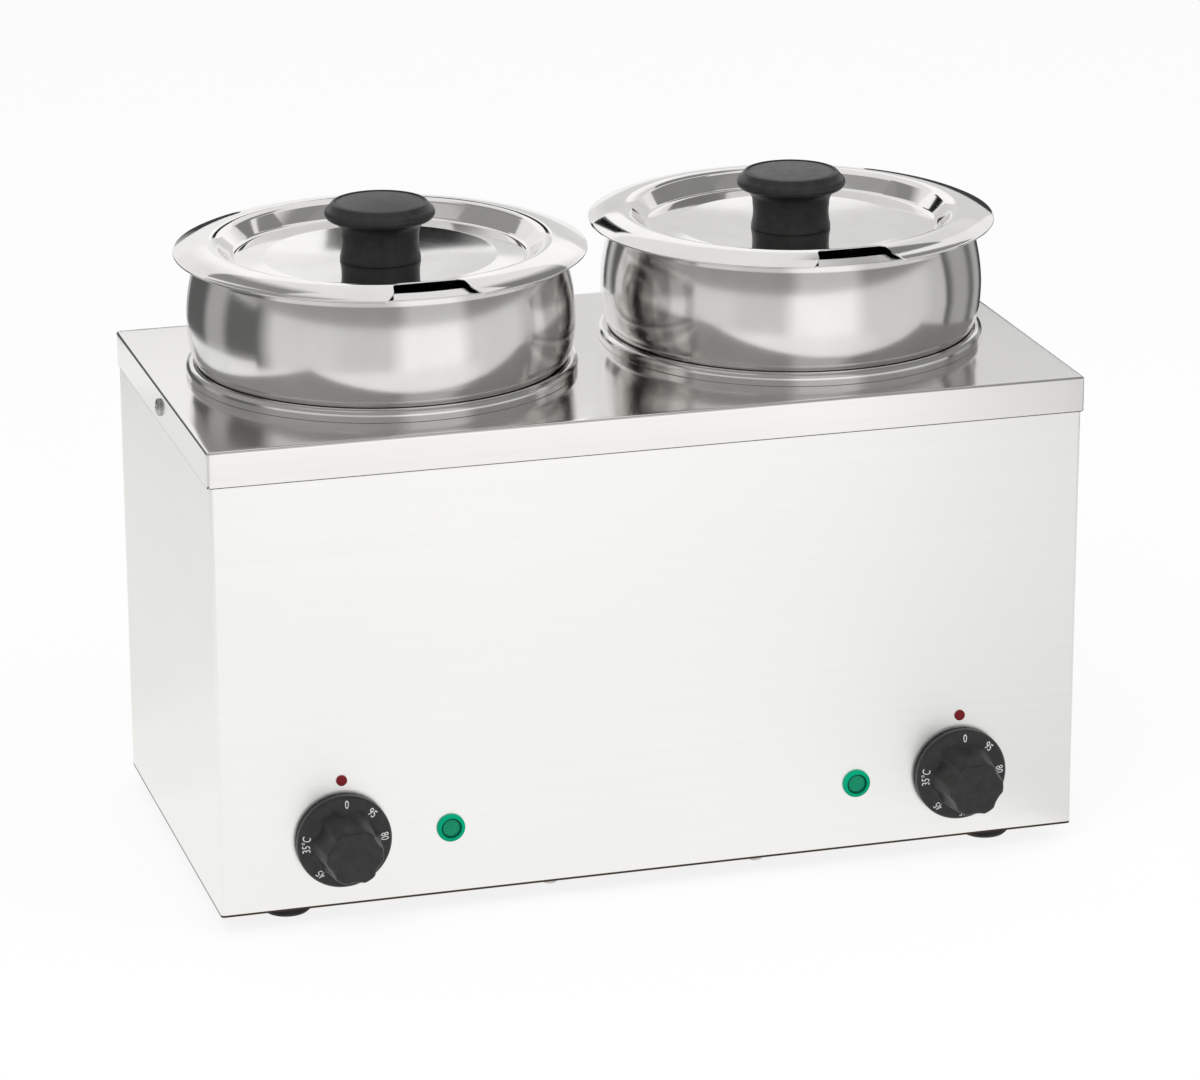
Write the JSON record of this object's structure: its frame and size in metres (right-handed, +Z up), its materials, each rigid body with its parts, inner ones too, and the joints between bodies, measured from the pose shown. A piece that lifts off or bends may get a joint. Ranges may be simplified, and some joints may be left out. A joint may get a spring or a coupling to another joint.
{
  "type": "bain marie",
  "caption": "Table-top electric bain marie: boxed steel housing with round wells, lift-out pots with notched lids, and rotary thermostats.",
  "frame": {"origin": "on the table, under the middle of the whole machine's bounding box", "axes": "+X to the right of someone in front, +Y to the rear, +Z up; the controls face -Y"},
  "size_m": [0.4948, 0.2924, 0.3664],
  "materials": {
    "satin_steel": "fine horizontal satin grain on folded stainless sheet",
    "cover_steel": "bright annealed stainless sheet, lightly brushed, very reflective",
    "polished_steel": "mirror-polished stainless steel",
    "black_plastic": "matt black phenolic moulding",
    "foot_rubber": "black rubber",
    "fastener_steel": "bright zinc-plated steel",
    "green_lens": "translucent green, finely facetted lens",
    "red_plastic": "glossy dark red plug",
    "holder_plastic": "dark moulded plastic",
    "clamp_aluminium": "plain rolled aluminium",
    "capillary_copper": "bare copper",
    "heater_sheath": "oxidised heater sheath",
    "wire_insulation": "glass-silicone sleeve"
  },
  "bodies": {
    "housing": {"base_plate": "satin_steel", "base_screws": "fastener_steel", "bulb_clip_left": "fastener_steel", "bulb_clip_right": "fastener_steel", "cable_gland": "holder_plastic", "capillary_left": "capillary_copper", "capillary_right": "capillary_copper", "casing": "satin_steel", "clamp_nut_left": "fastener_steel", "clamp_nut_right": "fastener_steel", "clamp_plate_left": "clamp_aluminium", "clamp_plate_right": "clamp_aluminium", "clamp_stud_left": "fastener_steel", "clamp_stud_right": "fastener_steel", "cover_screws": "fastener_steel", "dial_marker_left": "red_plastic", "dial_marker_right": "red_plastic", "earth_stud": "fastener_steel", "foot_front_left": "foot_rubber", "foot_front_right": "foot_rubber", "foot_nuts": "fastener_steel", "foot_rear_left": "foot_rubber", "foot_rear_right": "foot_rubber", "foot_screws": "fastener_steel", "gland_nut": "holder_plastic", "heating_element_left": "heater_sheath", "heating_element_right": "heater_sheath", "overheat_cutout_left": "holder_plastic", "overheat_cutout_right": "holder_plastic", "pilot_lamp_left": "holder_plastic", "pilot_lamp_right": "holder_plastic", "pilot_lens_left": "green_lens", "pilot_lens_right": "green_lens", "rear_panel": "satin_steel", "rear_screws": "fastener_steel", "terminal_block": "holder_plastic", "terminal_screws": "fastener_steel", "thermostat_left": "holder_plastic", "thermostat_right": "holder_plastic", "thermostat_screws": "holder_plastic", "top_cover": "cover_steel", "well_brackets": "fastener_steel", "well_left": "polished_steel", "well_right": "polished_steel", "wiring_left": "wire_insulation", "wiring_right": "wire_insulation"},
    "control_left": {"control_knob_left": "black_plastic", "control_shaft_left": "fastener_steel"},
    "pot_left": {"pot_left": "polished_steel"},
    "lid_left": {"lid_left": "polished_steel", "lid_knob_left": "black_plastic", "lid_screw_left": "fastener_steel"},
    "control_right": {"control_knob_right": "black_plastic", "control_shaft_right": "fastener_steel"},
    "pot_right": {"pot_right": "polished_steel"},
    "lid_right": {"lid_right": "polished_steel", "lid_knob_right": "black_plastic", "lid_screw_right": "fastener_steel"}
  },
  "joints": [
    {"name": "control_left_turn", "type": "hinge", "parent": "housing", "child": "control_left", "pos_m": [-0.1762, -0.11675, 0.0483], "axis": [0, 1, 0], "range_deg": [0, 320]},
    {"name": "pot_left_lift", "type": "slide", "parent": "housing", "child": "pot_left", "axis": [0, 0, 1], "range_m": [0, 0.17]},
    {"name": "lid_left_lift", "type": "slide", "parent": "pot_left", "child": "lid_left", "axis": [0, 0, 1], "range_m": [0, 0.08]},
    {"name": "control_right_turn", "type": "hinge", "parent": "housing", "child": "control_right", "pos_m": [0.1762, -0.11675, 0.0483], "axis": [0, 1, 0], "range_deg": [0, 320]},
    {"name": "pot_right_lift", "type": "slide", "parent": "housing", "child": "pot_right", "axis": [0, 0, 1], "range_m": [0, 0.17]},
    {"name": "lid_right_lift", "type": "slide", "parent": "pot_right", "child": "lid_right", "axis": [0, 0, 1], "range_m": [0, 0.08]}
  ]
}
